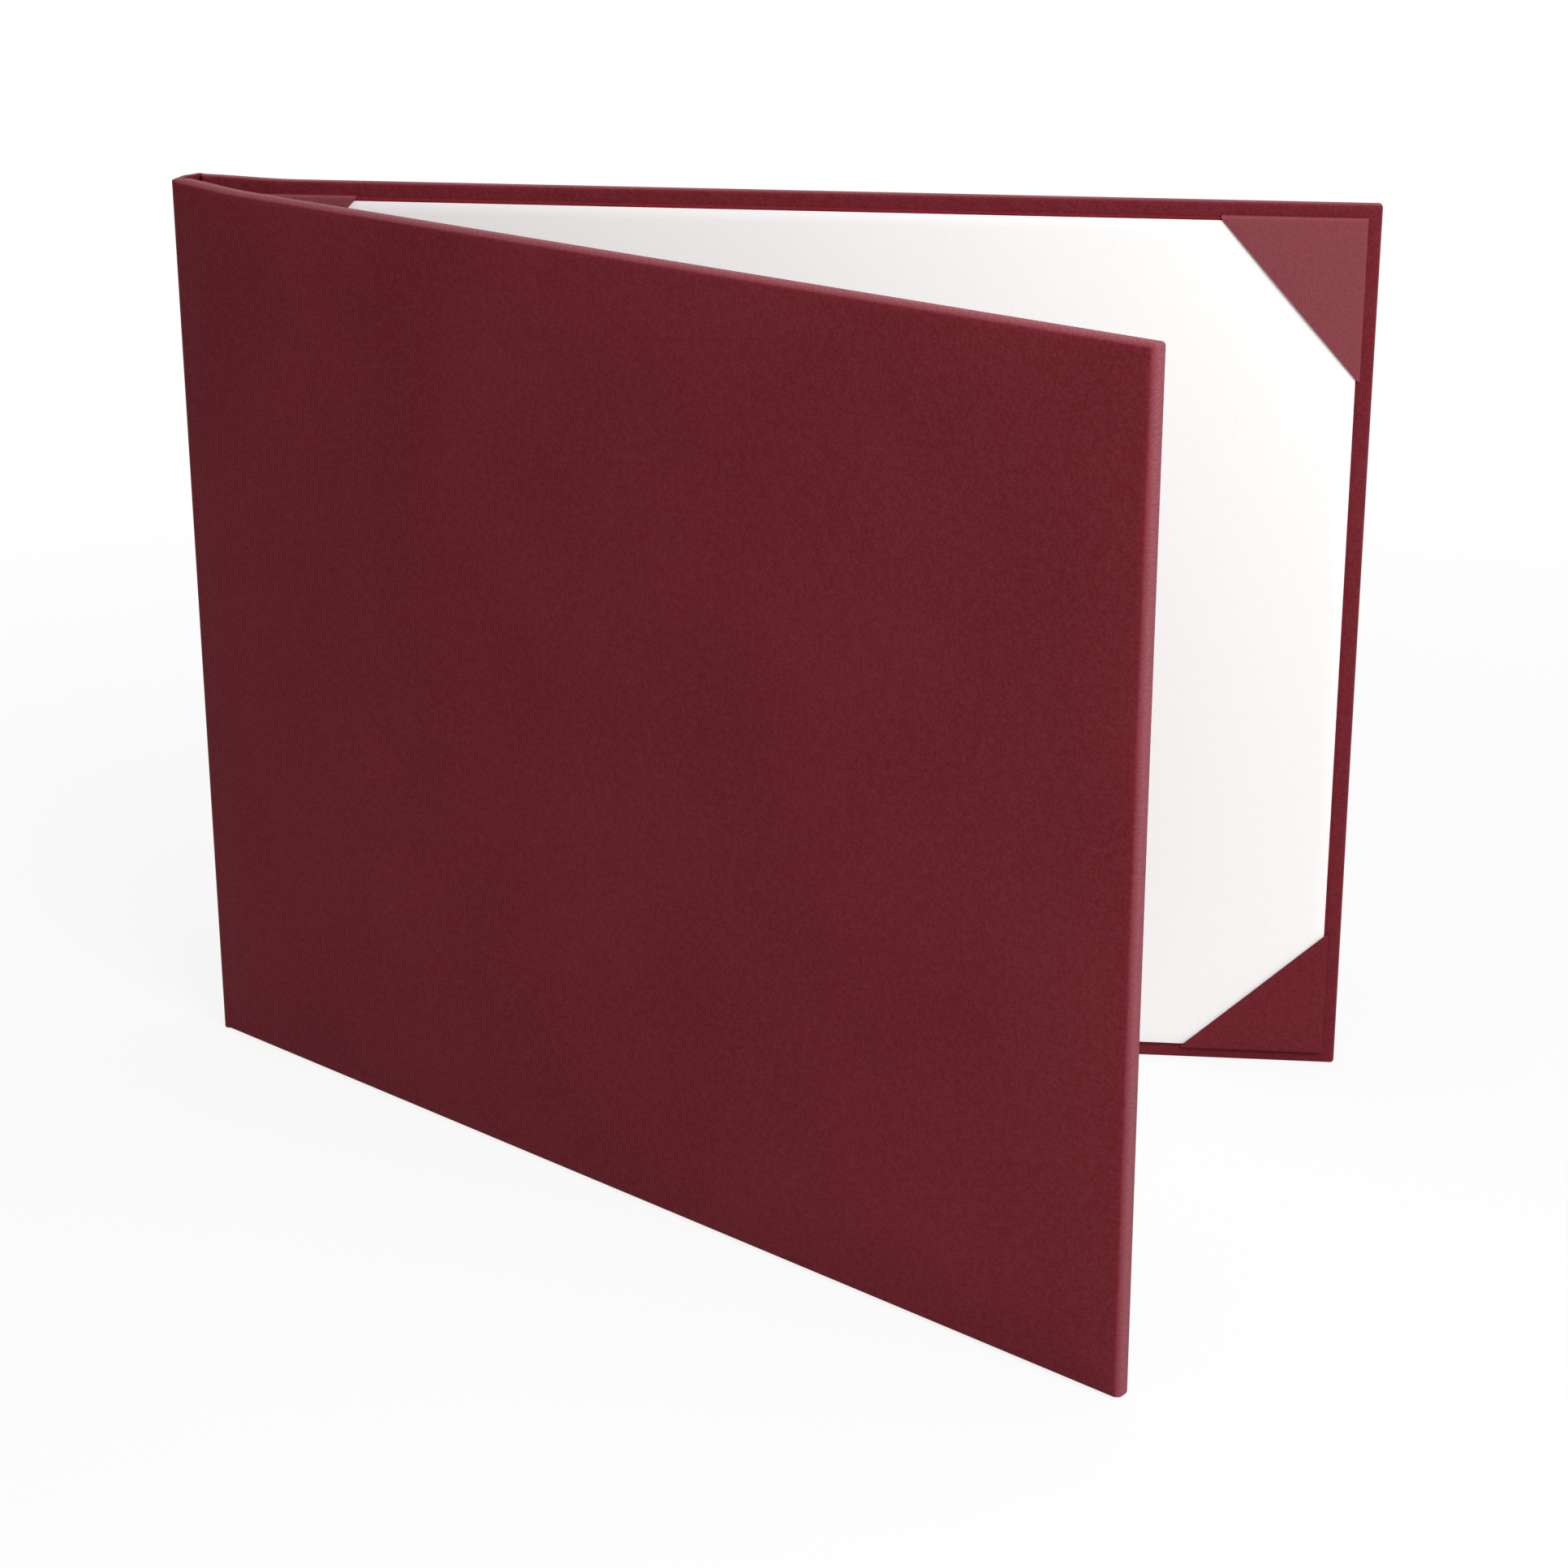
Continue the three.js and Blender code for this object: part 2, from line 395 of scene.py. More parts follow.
@dataclass(frozen=True)
class GrainEffect:
    """Pressed grain and cloudy shade, as one shader group that every leatherette finish places."""

    name: str = "pressed_grain"
    fine_scale: float = 0.45
    fine_detail: float = 4.0
    cloud_detail: float = 3.0
    pebble_height: float = -0.6
    fine_height: float = 0.7
    cloud_low: float = 0.3
    cloud_high: float = 0.7

    def group(self) -> bpy.types.NodeTree:
        """Builds the group once.

        Returns:
            The shader group, with the outputs Height and Cloud.
        """
        made = bpy.data.node_groups.get(self.name)
        if made is not None:
            return made
        tree = bpy.data.node_groups.new(self.name, "ShaderNodeTree")
        canvas = NodeCanvas(tree)
        for socket, kind in (
            ("Vector", "NodeSocketVector"),
            ("Pebbles per metre", "NodeSocketFloat"),
            ("Clouds per metre", "NodeSocketFloat"),
        ):
            tree.interface.new_socket(socket, in_out="INPUT", socket_type=kind)
        for socket in ("Height", "Cloud"):
            tree.interface.new_socket(socket, in_out="OUTPUT", socket_type="NodeSocketFloat")
        inputs = canvas.add("NodeGroupInput").outputs
        pebbles = canvas.add(
            "ShaderNodeTexVoronoi",
            {"Vector": inputs["Vector"], "Scale": inputs["Pebbles per metre"]},
            feature="F1",
        )
        fine = canvas.add(
            "ShaderNodeTexNoise",
            {
                "Vector": inputs["Vector"],
                "Scale": canvas.math("MULTIPLY", inputs["Pebbles per metre"], self.fine_scale),
                "Detail": self.fine_detail,
            },
        )
        clouds = canvas.add(
            "ShaderNodeTexNoise",
            {
                "Vector": inputs["Vector"],
                "Scale": inputs["Clouds per metre"],
                "Detail": self.cloud_detail,
            },
        )
        height = canvas.math(
            "ADD",
            canvas.math("MULTIPLY", pebbles.outputs["Distance"], self.pebble_height),
            canvas.math("MULTIPLY", fine.outputs[0], self.fine_height),
        )
        cloud = canvas.ramp(clouds.outputs[0], self.cloud_low, self.cloud_high)
        canvas.add("NodeGroupOutput", {"Height": height, "Cloud": cloud})
        return tree


@dataclass(frozen=True)
class LeatheretteFinish:
    """A dyed leatherette with a fine pressed grain and a little wear along its rolled edges; its paler
    colour also serves as a painted highlight.
    """

    name: str
    dye: str
    shade: str
    # The paler colour: grain tips and edge wear take it, and so does the painted highlight on lit edge
    # facets and pockets.
    wear_and_highlight_colour: str
    roughness: float = 0.46
    pebbles_per_m: float = 1450.0
    grain_depth_m: float = 0.00015
    crinkle: float = 3.0
    clouds_per_m: float = 22.0
    wear_and_highlight_share: float = 0.6
    tip_share: float = 0.24
    least_worn: float = 0.03
    rough_spread: float = 0.06
    bump_strength: float = 0.7
    specular: float = 0.02

    def material(self) -> Material:
        """Builds the finish.

        Returns:
            The material.
        """
        material = bpy.data.materials.new(self.name)
        material.use_nodes = True
        canvas = NodeCanvas(material.node_tree)
        place = canvas.add("ShaderNodeTexCoord").outputs["Object"]
        grain = canvas.add(
            "ShaderNodeGroup",
            {
                "Vector": place,
                "Pebbles per metre": self.pebbles_per_m,
                "Clouds per metre": self.clouds_per_m,
            },
            node_tree=GrainEffect().group(),
        ).outputs
        # One attribute carries real edge wear and a painted highlight together.
        wear_and_highlight = canvas.add("ShaderNodeAttribute", attribute_name="wear_and_highlight").outputs["Fac"]
        dyed = canvas.blend(grain["Cloud"], linear(self.shade), linear(self.dye))
        tips = canvas.math("MULTIPLY_ADD", grain["Height"], self.tip_share, self.least_worn)
        wear_and_highlight_mix = canvas.math("MULTIPLY_ADD", wear_and_highlight, self.wear_and_highlight_share, tips)
        smoothest = self.roughness - self.rough_spread / 2
        rough = canvas.math("MULTIPLY_ADD", grain["Cloud"], self.rough_spread, smoothest)
        crinkle = canvas.math("MULTIPLY_ADD", wear_and_highlight, self.crinkle, 1.0)
        height = canvas.math("MULTIPLY", grain["Height"], crinkle)
        canvas.surface(
            canvas.blend(wear_and_highlight_mix, dyed, linear(self.wear_and_highlight_colour)),
            rough,
            self.specular,
            (self.bump_strength, self.grain_depth_m, height),
        )
        return material


@dataclass(frozen=True)
class FibreFinish:
    """Paper, card, board or foam: a matte body with fibres or cells of one size."""

    name: str
    light: str
    dark: str
    fibres_per_m: float
    depth_m: float
    roughness: float = 0.85
    detail: float = 6.0
    detail_roughness: float = 0.6
    tone_low: float = 0.3
    tone_high: float = 0.7
    bump_strength: float = 0.4
    specular: float = 0.3

    def material(self) -> Material:
        """Builds the finish.

        Returns:
            The material.
        """
        material = bpy.data.materials.new(self.name)
        material.use_nodes = True
        canvas = NodeCanvas(material.node_tree)
        place = canvas.add("ShaderNodeTexCoord").outputs["Object"]
        fibres = canvas.add(
            "ShaderNodeTexNoise",
            {
                "Vector": place,
                "Scale": self.fibres_per_m,
                "Detail": self.detail,
                "Roughness": self.detail_roughness,
            },
        ).outputs[0]
        tone = canvas.ramp(fibres, self.tone_low, self.tone_high)
        canvas.surface(
            canvas.blend(tone, linear(self.dark), linear(self.light)),
            self.roughness,
            self.specular,
            (self.bump_strength, self.depth_m, fibres),
        )
        return material


@dataclass(frozen=True)
class Finishes:
    """Every finish of the cover, built once."""

    leatherette: Material
    stretched: Material
    lining: Material
    paper: Material
    foam: Material
    greyboard: Material
    card: Material

    @classmethod
    def build(cls) -> "Finishes":
        """Builds the finishes.

        Returns:
            The set of materials.
        """
        # Each finish's paler colour serves edge wear and painted highlight alike; the pockets' painted
        # highlight uses the stretched finish.
        return cls(
            leatherette=LeatheretteFinish(
                "maroon_leatherette", dye="6c222a", shade="661e26", wear_and_highlight_colour="9a5b64"
            ).material(),
            stretched=LeatheretteFinish(
                "stretched_leatherette", dye="6a2028", shade="641c24", wear_and_highlight_colour="96555d",
                pebbles_per_m=1500.0, crinkle=0.3,
            ).material(),
            lining=LeatheretteFinish(
                "maroon_lining", dye="6f1d25", shade="68181f", wear_and_highlight_colour="95525b",
                roughness=0.52, pebbles_per_m=1600.0,
            ).material(),
            paper=FibreFinish("certificate_paper", "f7f7f6", "f2f2f1", 2600.0, 0.00001).material(),
            foam=FibreFinish("padding_foam", "ddd8cc", "c4bfb2", 1400.0, 0.0002, 0.95).material(),
            greyboard=FibreFinish("greyboard", "938a7e", "7b7368", 900.0, 0.00006, 0.9).material(),
            card=FibreFinish("buff_card", "d3cab8", "c3b9a6", 1500.0, 0.00003, 0.9).material(),
        )


@dataclass
class Covering:
    """Half of the leatherette: one cover with its turn-ins, and the spine as far as its middle."""

    space: CoverSpace
    finish: Material
    sheet: float = 0.5 * MM
    fold_radius: float = 2.6 * MM
    spine_bulge: float = 0.8 * MM
    spine_depth: float = 2.1 * MM
    corner_radius: float = 0.9 * MM
    edge_zone: float = 2.2 * MM
    bevel_reach: float = 0.85 * MM
    bevel_drop: float = 1.9 * MM
    bevel_rounding: float = 0.55 * MM
    inner_roll: float = 0.9 * MM
    crown: float = 1.0 * MM
    crown_width: float = 17 * MM
    flat_near_fold: float = 14 * MM
    wave_height: float = 0.22 * MM
    waves_per_m: float = 16
    pull_in: float = 0.15 * MM
    head_rise: float = 0.9 * MM
    head_rise_reach: float = 26 * MM
    thinning_start: float = -0.9 * MM
    thinning_end: float = 1.1 * MM
    blend_start: float = 1.9 * MM
    blend_end: float = -0.2 * MM
    corner_span: float = 20 * MM
    widest_row: float = 8 * MM
    narrowest_row: float = 0.6 * MM
    row_share: float = 0.16
    mesh_step: float = 3 * MM
    seed: float = field(init=False)

    TURN_IN_ROWS_MM = (1.7, 2.4, 3.2, 4.5, 7, 10, 14)

    def __post_init__(self) -> None:
        """Chooses which part of the noise field this cover's slight unevenness comes from."""
        self.seed = 3.0 if self.space.side is Side.BACK else 11.0

    @property
    def fold_turn(self) -> float:
        """How far the leatherette turns at the fold, in radians."""
        return math.pi / 2 - self.space.layout.half_opening

    @property
    def tangent(self) -> float:
        """Distance from the sharp fold line to where the rounding starts."""
        return self.fold_radius * math.tan(self.fold_turn / 2)

    @property
    def arc_start(self) -> float:
        """Path position where the spine's straight part meets the fold's rounding."""
        return self.tangent - self.fold_radius * self.fold_turn

    @property
    def spine_end(self) -> float:
        """Path position of the spine's middle, which is negative."""
        return self.arc_start - (self.space.layout.spine_width / 2 - self.tangent)

    def outline(self, path: float) -> tuple[Vector, Vector]:
        """Where the outer surface runs, seen from above.

        Args:
            path: Distance along the surface, from the fold towards the fore edge.

        Returns:
            The point and the direction inwards, both as s and d.
        """
        if path >= self.tangent:
            return Vector((path, 0)), Vector((0, 1))
        turned = min((self.tangent - path) / self.fold_radius, self.fold_turn)
        inward = Vector((math.sin(turned), math.cos(turned)))
        centre = Vector((self.tangent, self.fold_radius))
        point = centre - inward * self.fold_radius
        if path < self.arc_start:
            along = Vector((-math.cos(turned), math.sin(turned)))
            point += along * (self.arc_start - path)
            share = (self.arc_start - path) / (self.arc_start - self.spine_end)
            point -= inward * self.spine_bulge * math.sin(share * math.pi / 2) ** 2
        return point, inward

    def depth(self, path: float) -> float:
        """How thick the cover is at a path position, from the outer face to the turn-ins."""
        low, high = self.tangent + self.thinning_start, self.tangent + self.thinning_end
        share = smooth(path, low, high)
        return self.spine_depth + (self.space.layout.thickness - self.spine_depth) * share

    def place(self, path: float, depth: float, z: float) -> Vector:
        """A point under the outer surface.

        Args:
            path: Distance along the outer surface from the fold.
            depth: Distance in from the outer surface.
            z: Height.

        Returns:
            The point in the part's frame.
        """
        point, inward = self.outline(path)
        point = point + inward * depth
        return self.space.point(point.x, point.y, z)

    def columns(self) -> list[tuple[str, float]]:
        """Stations round the three free edges, from the spine's foot to the spine's head.

        Returns:
            Pairs of an edge's name and how far along it the station lies: a path position on the
            foot and head, an angle at the corners, and a share of the height on the fore edge.
        """
        radius, width = self.corner_radius, self.space.layout.width
        fine_step = 0.5 * MM
        foot = spread(self.spine_end, self.arc_start, SPINE_STEP)[:-1]
        foot += spread(self.arc_start, self.tangent, SPINE_STEP / 2)[:-1]
        foot += spread(self.tangent, NEAR_FOLD, fine_step)[:-1]
        foot += spread(NEAR_FOLD, width - radius - fine_step, self.mesh_step)
        foot.append(width - radius)
        turns = spread(0, math.pi / 2, math.pi / 16)[1:-1]
        rises = spread(0, 1, self.mesh_step / self.space.layout.height)
        return (
            [("foot", p) for p in foot]
            + [("foot_corner", a) for a in turns]
            + [("fore", r) for r in rises]
            + [("head_corner", a) for a in turns]
            + [("head", p) for p in reversed(foot)]
        )

    def ring_point(self, edge: str, along: float, inset: float) -> tuple[float, float]:
        """A station's place on the ring at a distance inside the free edges.

        Args:
            edge: The edge's name, as columns gives it.
            along: How far along that edge.
            inset: Distance inside the outer outline.

        Returns:
            The path position and the height.
        """
        width, height = self.space.layout.width, self.space.layout.height
        reach = max(inset, self.corner_radius)
        if edge in ("foot", "head"):
            near = self.corner_span
            path = along
            if along > near:
                scale = (width - reach - near) / (width - self.corner_radius - near)
                path = near + (along - near) * scale
            return path, inset if edge == "foot" else height - inset
        if edge == "fore":
            return width - inset, reach + along * (height - 2 * reach)
        radius = max(self.corner_radius - inset, 0)
        centre = width - reach
        path_off, z_off = radius * math.sin(along), radius * math.cos(along)
        if edge == "head_corner":
            path_off, z_off = radius * math.cos(along), -radius * math.sin(along)
        if edge == "foot_corner":
            return centre + path_off, reach - z_off
        return centre + path_off, height - reach - z_off

    def rows(self) -> list[tuple[float, float, float]]:
        """The section over a free edge, from the middle of the outer face to the window's edge.

        Returns:
            For each row its inset, its depth as a share of the cover's, and how much edge wear and
            painted highlight it carries.
        """
        height = self.space.layout.height
        thickness = self.space.layout.thickness
        face = [height / 2]
        inset = height / 2 - self.widest_row
        while inset > self.edge_zone:
            face.append(inset)
            inset -= max(self.narrowest_row, min(self.widest_row, inset * self.row_share))
        rows = [(k, 0.0, 0.0) for k in face]
        corners = (
            (Vector((self.edge_zone, 0)), 0.0),
            (Vector((self.bevel_reach, 0)), self.bevel_rounding),
            (Vector((0, self.bevel_drop)), self.bevel_rounding),
            (Vector((0, thickness)), self.inner_roll),
            (Vector((self.edge_zone, thickness)), 0.0),
        )
        for (before, _), (corner, radius), (after, _) in zip(corners, corners[1:], corners[2:]):
            come, go = (corner - before).normalized(), (after - corner).normalized()
            reach = radius * math.tan(come.angle(go) / 2)
            for t in spread(0, 1, 1 / 5):
                start, end = corner - come * reach, corner + go * reach
                spot = start.lerp(corner, t).lerp(corner.lerp(end, t), t)
                # The bevel facets round the free edges get the paler colour: partly wear, partly a
                # painted highlight for the lit edge facets.
                on_bevel = smooth(spot.y, 0.1 * MM, 0.9 * MM)
                wear_and_highlight = on_bevel * (1 - smooth(spot.y, thickness * 0.85, thickness))
                rows.append((spot.x, spot.y / thickness, wear_and_highlight))
        return rows + [(inset * MM, 1.0, 0.0) for inset in self.TURN_IN_ROWS_MM]

    def uneven(self, path: float, z: float, inset: float) -> float:
        """How far the padded face stands proud at a point.

        Args:
            path: Distance along the surface from the fold.
            z: Height.
            inset: Distance inside the free edges.

        Returns:
            The padding's swell and a slight wave, in metres.
        """
        swell = self.crown * math.sqrt(smooth(inset, self.bevel_reach, self.crown_width))
        swell *= smooth(path, 0, self.flat_near_fold)
        spot = Vector((path * self.waves_per_m, z * self.waves_per_m, self.seed))
        wave = noise.noise(spot) * self.wave_height * smooth(inset, 3 * MM, 24 * MM)
        return swell + wave * smooth(path, 4 * MM, 24 * MM)

    def build(self) -> Piece:
        """Makes the half covering and dresses it.

        Returns:
            The finished piece, which runs from its cover onto the spine.
        """
        layout = self.space.layout
        columns, rows = self.columns(), self.rows()
        mesh = bmesh.new()
        # Per-vertex amount of edge wear and painted highlight, read by the leatherette.
        wear_and_highlight_layer = mesh.verts.layers.float.new("wear_and_highlight")
        grid = []
        for inset, share, wear_and_highlight in rows:
            line = []
            for edge, along in columns:
                path, z = self.ring_point(edge, along, inset)
                thick = self.depth(path)
                depth = share * thick
                squeeze = thick / layout.thickness
                tucked = inset * squeeze if inset < self.edge_zone else inset
                if edge in ("foot", "head"):
                    z += (tucked - inset) * (1 if edge == "foot" else -1)
                if share == 0:
                    depth -= self.uneven(path, z, inset)
                bow = self.pull_in * math.sin(math.pi * z / layout.height)
                path -= bow * smooth(path, layout.width * 0.8, layout.width)
                rise = 1 - smooth(path, 0, self.head_rise_reach)
                z += self.head_rise * rise * smooth(z, layout.height * 0.9, layout.height)
                vert = mesh.verts.new(self.place(path, depth, z))
                vert[wear_and_highlight_layer] = wear_and_highlight
                line.append(vert)
            grid.append(line)
        for upper, lower in zip(grid, grid[1:]):
            for i in range(len(columns) - 1):
                mesh.faces.new((upper[i], lower[i], lower[i + 1], upper[i + 1]))
        bmesh.ops.remove_doubles(mesh, verts=mesh.verts, dist=0.002 * MM)
        if self.space.side is Side.BACK:
            bmesh.ops.reverse_faces(mesh, faces=mesh.faces)
        data = bpy.data.meshes.new("covering")
        mesh.to_mesh(data)
        mesh.free()
        side = self.space.side.value
        piece = thickened(add_piece(f"{side}_covering", data, self.finish), self.sheet)
        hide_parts(f"{side}_wrap", "spine_wrap", "spine_padding")
        self.bend(piece)
        return piece

    def bend(self, piece: Piece) -> None:
        """Bakes a piece's placement into its mesh. Where a bend at this cover's fold would start and
        end is worked out, but the piece does not bend.

        Args:
            piece: A finished piece that crosses from the cover to the spine.
        """
        start = self.space.point(self.blend_start, 0, 0)
        end = self.space.point(self.blend_end, 0, 0)
        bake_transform(piece)


@dataclass
class HingeLining:
    """Half of the strip that closes the spine inside, from its middle to under a panel."""

    covering: Covering
    finish: Material
    strip: float = 0.28 * MM
    head_margin: float = 9 * MM
    reach: float = 15 * MM
    under_share: float = 0.9
    mesh_step: float = 3 * MM

    def build(self) -> Piece:
        """Makes the half strip and dresses it.

        Returns:
            The finished piece, which runs from its cover onto the spine.
        """
        covering = self.covering
        layout = covering.space.layout
        stations = spread(covering.spine_end, covering.arc_start, SPINE_STEP)[:-1]
        stations += spread(covering.arc_start, covering.tangent, 0.6 * MM)[:-1]
        stations += spread(covering.tangent, NEAR_FOLD, 0.4 * MM)[:-1]
        stations += spread(NEAR_FOLD, self.reach, 2 * MM)
        heights = spread(self.head_margin, layout.height - self.head_margin, self.mesh_step)
        mesh = bmesh.new()
        grid = [
            [
                mesh.verts.new(covering.place(p, covering.depth(p) + self.strip, z))
                for p in stations
            ]
            for z in heights
        ]
        for lower, upper in zip(grid, grid[1:]):
            for i in range(len(stations) - 1):
                mesh.faces.new((lower[i], lower[i + 1], upper[i + 1], upper[i]))
        if covering.space.side is Side.FRONT:
            bmesh.ops.reverse_faces(mesh, faces=mesh.faces)
        data = bpy.data.meshes.new("hinge_lining")
        mesh.to_mesh(data)
        mesh.free()
        side = covering.space.side.value
        piece = add_piece(f"{side}_hinge_lining", data, self.finish)
        thickened(piece, self.strip * self.under_share)
        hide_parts("spine_lining")
        covering.bend(piece)
        return piece


class LaidSheet:
    """Geometry nodes for a sheet laid flat with its edges rolled down, square or as a triangle."""

    # One input sets how strongly a pocket's painted highlight shows; flat sheets leave it at 0.
    INPUTS = ("Along", "Up", "Taper", "Roll", "Drop", "Puff", "Painted highlight")
    FLAT = {"Taper": 0.0, "Puff": 0.0, "Painted highlight": 0.0}
    SWELL_EDGE = 14 * MM
    SWELL_EASE = 0.3
    # The pockets' painted highlight: paler towards the outer side, brightest within a band along it,
    # and fading to the plain dye near the horizontal edge, which paints a darker band along the upper
    # pockets' top edge.
    PALE_AT_CORNER = 0.85
    PALE_FALL = -0.6
    PALE_AT_SIDE = 0.35
    SIDE_BAND = 5 * MM
    TOP_BAND = (1 * MM, 15 * MM)
    # Painted highlight along the rolled side edges of pockets and panels.
    ROLL_HIGHLIGHT = 0.6
    MERGE_DISTANCE = 1e-5

    def __init__(self) -> None:
        """Builds the tree."""
        self.tree = bpy.data.node_groups.new("laid_sheet", "GeometryNodeTree")
        self.canvas = NodeCanvas(self.tree)
        self.fill()

    def fill(self) -> None:
        """Places and joins the tree's nodes."""
        canvas, face = self.canvas, self.tree.interface
        for name in self.INPUTS:
            face.new_socket(name, in_out="INPUT", socket_type="NodeSocketFloat")
        for name in ("Cells", "Roll cells"):
            face.new_socket(name, in_out="INPUT", socket_type="NodeSocketInt")
        face.new_socket("Finish", in_out="INPUT", socket_type="NodeSocketMaterial")
        face.new_socket("Geometry", in_out="OUTPUT", socket_type="NodeSocketGeometry")
        given = canvas.add("NodeGroupInput").outputs
        count = canvas.math("ADD", given["Cells"], 1.0)
        grid = canvas.add(
            "GeometryNodeMeshGrid",
            {"Size X": 1.0, "Size Y": 1.0, "Vertices X": count, "Vertices Y": count},
        )
        place = canvas.add("GeometryNodeInputPosition").outputs[0]
        parts = canvas.add("ShaderNodeSeparateXYZ", {0: place}).outputs
        arc = canvas.math("MULTIPLY", given["Roll"], math.pi / 2)
        overhang = canvas.math("ADD", arc, given["Drop"])
        u = self.station(parts[0], given["Along"], overhang, given)
        v = self.station(parts[1], given["Up"], overhang, given)
        shrink = canvas.math(
            "MULTIPLY", given["Taper"], canvas.ramp(v, 0.0, given["Up"])
        )
        inside = canvas.math("MAXIMUM", u, 0.0)
        outside = canvas.math("MINIMUM", u, 0.0)
        u = canvas.math("MULTIPLY_ADD", inside, canvas.math("SUBTRACT", 1.0, shrink), outside)
        x, fall_x = self.rolled(u, given["Along"], arc, given)
        z, fall_z = self.rolled(v, given["Up"], arc, given)
        fall = canvas.math("MAXIMUM", fall_x, fall_z)
        soft = self.SWELL_EDGE
        swell = canvas.math("MULTIPLY", canvas.ramp(u, 0.0, soft), canvas.ramp(v, 0.0, soft))
        swell = canvas.math("SMOOTH_MIN", swell, 1.0, self.SWELL_EASE)
        rise = canvas.math("SUBTRACT", canvas.math("MULTIPLY", swell, given["Puff"]), fall)
        moved = canvas.add("ShaderNodeCombineXYZ", {0: x, 1: rise, 2: z}).outputs[0]
        shaped = canvas.add(
            "GeometryNodeSetPosition", {"Geometry": grid.outputs[0], "Position": moved}
        )
        # Painted highlight, paled towards the outer side and fading out near the horizontal edge into a
        # painted shade band; the rolled side edges get a painted highlight as well.
        across = canvas.ramp(u, 0.0, given["Along"])
        pale = canvas.math("MULTIPLY_ADD", across, self.PALE_FALL, self.PALE_AT_CORNER)
        near_side = canvas.math(
            "MULTIPLY", canvas.ramp(u, self.SIDE_BAND, 0.0), self.PALE_AT_SIDE
        )
        pale = canvas.math("ADD", pale, near_side)
        pale = canvas.math("MULTIPLY", pale, canvas.ramp(v, *self.TOP_BAND))
        painted_highlight = canvas.math("MULTIPLY", given["Painted highlight"], pale)
        # Painted highlight on the rolled side edges.
        rolled = canvas.math("MULTIPLY", canvas.ramp(fall_x, 0.0, given["Roll"]), self.ROLL_HIGHLIGHT)
        wear_and_highlight = canvas.math("MAXIMUM", painted_highlight, rolled)
        marked = canvas.add(
            "GeometryNodeStoreNamedAttribute",
            {"Geometry": shaped.outputs[0], "Name": "wear_and_highlight", "Value": wear_and_highlight},
            data_type="FLOAT",
        )
        merged = canvas.add(
            "GeometryNodeMergeByDistance",
            {"Geometry": marked.outputs[0], "Distance": self.MERGE_DISTANCE},
        )
        real = canvas.add("GeometryNodeRealizeInstances", {0: merged.outputs[0]})
        dressed = canvas.add(
            "GeometryNodeSetMaterial", {"Geometry": real.outputs[0], "Material": given["Finish"]}
        )
        canvas.add("NodeGroupOutput", {0: dressed.outputs[0]})

    def station(
        self,
        axis: Socket,
        length: Socket,
        overhang: Socket,
        given: object,
    ) -> Socket:
        """Turns a unit grid's coordinate into a distance, with close rows in the rolled edges.

        Args:
            axis: The grid's coordinate, from -0.5 to 0.5.
            length: The flat length between the rolled edges.
            overhang: The length of one rolled edge.
            given: The tree's inputs.

        Returns:
            The distance's socket.
        """
        canvas = self.canvas
        cells, roll = given["Cells"], given["Roll cells"]
        index = canvas.math("MULTIPLY", canvas.math("ADD", axis, 0.5), cells)
        last = canvas.math(
            "SUBTRACT",
            cells,
            canvas.math("MULTIPLY", roll, canvas.math("SUBTRACT", 1.0, given["Taper"])),
        )
        first_share = canvas.math("SUBTRACT", canvas.ramp(index, 0.0, roll), 1.0)
        flat_share = canvas.ramp(index, roll, last)
        end_share = canvas.ramp(index, last, canvas.math("ADD", cells, 1e-4))
        end_length = canvas.math(
            "MULTIPLY", overhang, canvas.math("SUBTRACT", 1.0, given["Taper"])
        )
        before = canvas.math("MULTIPLY", first_share, overhang)
        flat = canvas.math("MULTIPLY_ADD", flat_share, length, before)
        return canvas.math("MULTIPLY_ADD", end_share, end_length, flat)

    def rolled(
        self,
        distance: Socket,
        length: Socket,
        arc: Socket,
        given: object,
    ) -> tuple[Socket, Socket]:
        """Bends what lies past either end of a length down round the roll.

        Args:
            distance: Distance along the flat sheet, negative before its start.
            length: Where the far end's roll starts.
            arc: The roll's arc length.
            given: The tree's inputs.

        Returns:
            The distance after the bend, and how far the point fell.
        """
        canvas = self.canvas
        before = canvas.math("MAXIMUM", canvas.math("MULTIPLY", distance, -1.0), 0.0)
        after = canvas.math("MAXIMUM", canvas.math("SUBTRACT", distance, length), 0.0)
        flat = canvas.math("MINIMUM", canvas.math("MAXIMUM", distance, 0.0), length)
        past = canvas.math("ADD", before, after)
        angle = canvas.math("DIVIDE", canvas.math("MINIMUM", past, arc), given["Roll"])
        out = canvas.math("MULTIPLY", canvas.math("SINE", angle), given["Roll"])
        way = canvas.math("SUBTRACT", canvas.math("SIGN", after), canvas.math("SIGN", before))
        place = canvas.math("MULTIPLY_ADD", out, way, flat)
        drop = canvas.math("SUBTRACT", 1.0, canvas.math("COSINE", angle))
        straight = canvas.math("MAXIMUM", canvas.math("SUBTRACT", past, arc), 0.0)
        return place, canvas.math("MULTIPLY_ADD", drop, given["Roll"], straight)

